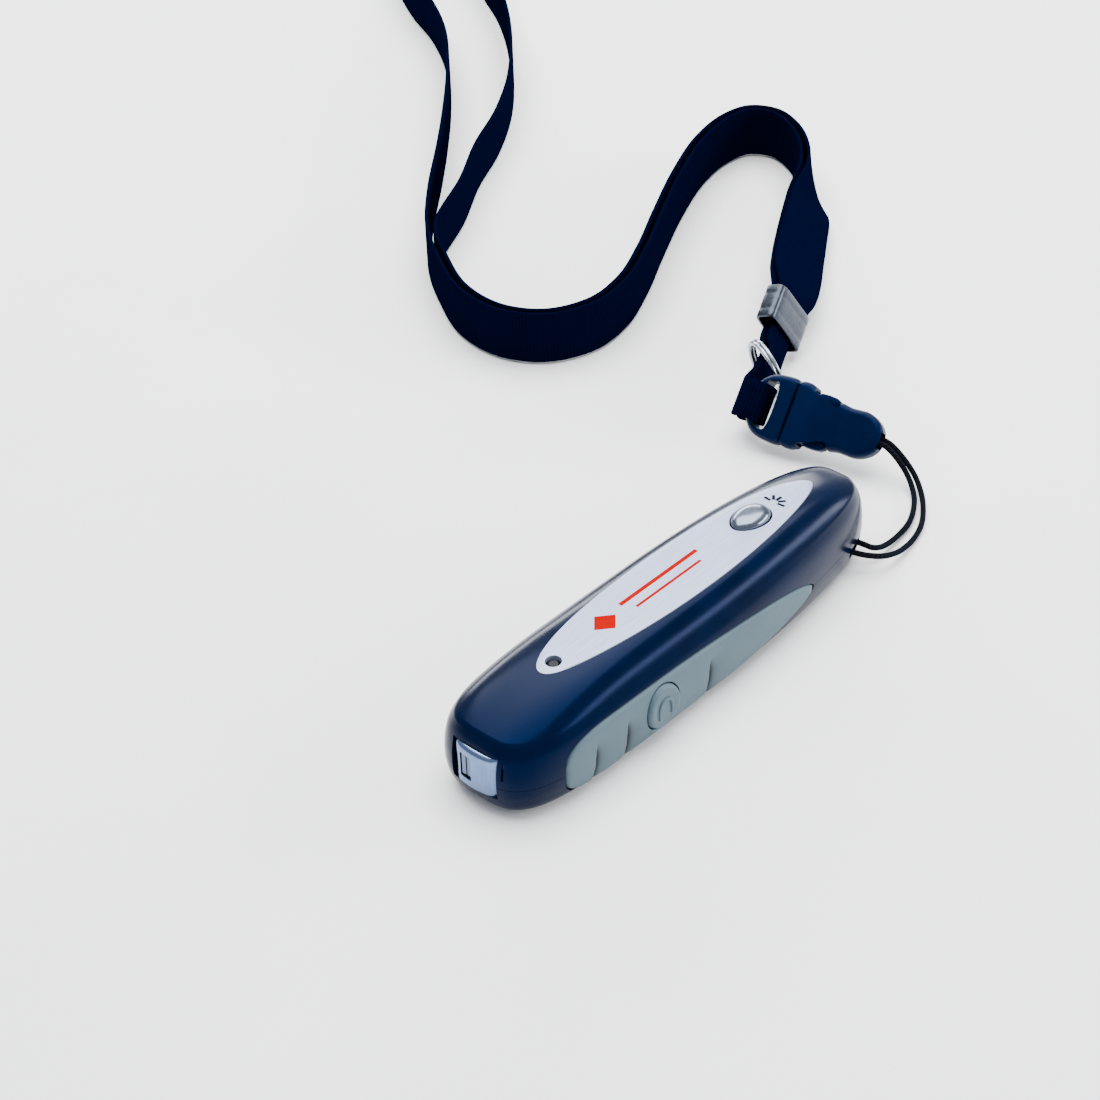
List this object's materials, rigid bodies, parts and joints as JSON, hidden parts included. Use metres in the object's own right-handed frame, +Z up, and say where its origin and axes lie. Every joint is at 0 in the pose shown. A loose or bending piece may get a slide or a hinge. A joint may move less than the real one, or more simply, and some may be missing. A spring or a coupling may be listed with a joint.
{
  "type": "counterfeit bill detector",
  "caption": "Pocket banknote checker with an ultraviolet lamp key, a magnetic-ink head and key, side grips, and a webbing neck strap on a side-release buckle.",
  "frame": {"origin": "middle of the detector's footprint, on the surface it lies on", "axes": "+Z up through the name plate, -Y towards the nose with the magnetic head, +X towards the side with the magnetic-ink key"},
  "size_m": [0.2894, 0.2783, 0.0216],
  "materials": {
    "navy_housing": "glossy moulded navy ABS",
    "navy_buckle": "satin moulded navy acetal",
    "brushed_label": "brushed anodised aluminium plate",
    "chrome": "polished chrome plating",
    "steel": "nickel-plated steel",
    "grip_rubber": "soft-touch moulded rubber",
    "clear_plastic": "clear moulded plastic",
    "black_plastic": "black moulded plastic",
    "circuit_board": "green solder mask on glass epoxy",
    "copper": "enamelled copper winding",
    "cell": "plastic sleeve on a battery cell",
    "webbing": "woven navy satin webbing",
    "cord": "black braided cord"
  },
  "bodies": {
    "housing": {"upper_shell": "navy_housing", "lower_shell": "navy_housing", "buckle_female": "navy_buckle", "label_plate": "brushed_label", "head_can": "chrome", "head_core": "steel", "head_bracket": "steel", "contact_plate_right": "steel", "contact_plate_left": "steel", "contact_spring_right": "steel", "contact_spring_left": "steel", "contact_bridge": "steel", "case_screw_1": "steel", "case_screw_2": "steel", "case_screw_3": "steel", "strap_pin": "steel", "right_grip": "grip_rubber", "left_grip": "grip_rubber", "uv_lamp": "clear_plastic", "uv_window": "clear_plastic", "controller_chip": "black_plastic", "amplifier_chip": "black_plastic", "uv_switch": "black_plastic", "mg_switch": "black_plastic", "buzzer": "black_plastic", "indicator_lamp": "black_plastic", "capacitor": "black_plastic", "main_board": "circuit_board", "mg_switch_board": "circuit_board", "head_coil": "copper", "cell_right": "cell", "cell_left": "cell", "strap_cord": "cord"},
    "uv_key": {"uv_button": "chrome"},
    "mg_key": {"mg_button": "grip_rubber"},
    "door": {"battery_door": "navy_housing"},
    "buckle_insert": {"buckle_male": "navy_buckle", "hanger_loop": "webbing", "crimp": "steel", "neck_strap_left": "webbing", "neck_strap_right": "webbing"},
    "upper_prong": {"prong_upper": "navy_buckle"},
    "lower_prong": {"prong_lower": "navy_buckle"},
    "ring": {"split_ring": "steel"}
  },
  "joints": [
    {"name": "uv_button_press", "type": "slide", "parent": "housing", "child": "uv_key", "axis": [0, 0, -1], "range_m": [0, 0.0006], "stiffness_N_per_m": 600},
    {"name": "mg_button_press", "type": "slide", "parent": "housing", "child": "mg_key", "axis": [-1, 0, 0], "range_m": [0, 0.0007], "stiffness_N_per_m": 600},
    {"name": "battery_door_slide", "type": "slide", "parent": "housing", "child": "door", "axis": [0, 1, 0], "range_m": [0, 0.008]},
    {"name": "buckle_release", "type": "slide", "parent": "housing", "child": "buckle_insert", "axis": [-0.9877, -0.1564, 0], "range_m": [0, 0.012]},
    {"name": "upper_prong_press", "type": "hinge", "parent": "buckle_insert", "child": "upper_prong", "pos_m": [-0.02841, 0.07597, 0.01043], "axis": [-0.1137, 0.7176, -0.6871], "range_deg": [0, 6], "stiffness_Nm_per_rad": 0.05},
    {"name": "lower_prong_press", "type": "hinge", "parent": "buckle_insert", "child": "lower_prong", "pos_m": [-0.02757, 0.07068, 0.00477], "axis": [0.1137, -0.7176, 0.6871], "range_deg": [0, 6], "stiffness_Nm_per_rad": 0.05},
    {"name": "ring_turn", "type": "hinge", "parent": "buckle_insert", "child": "ring", "pos_m": [-0.0426, 0.0839, 0.0076], "axis": [0.4006, 0.8814, 0.2504], "range_deg": [-90, 90]}
  ]
}
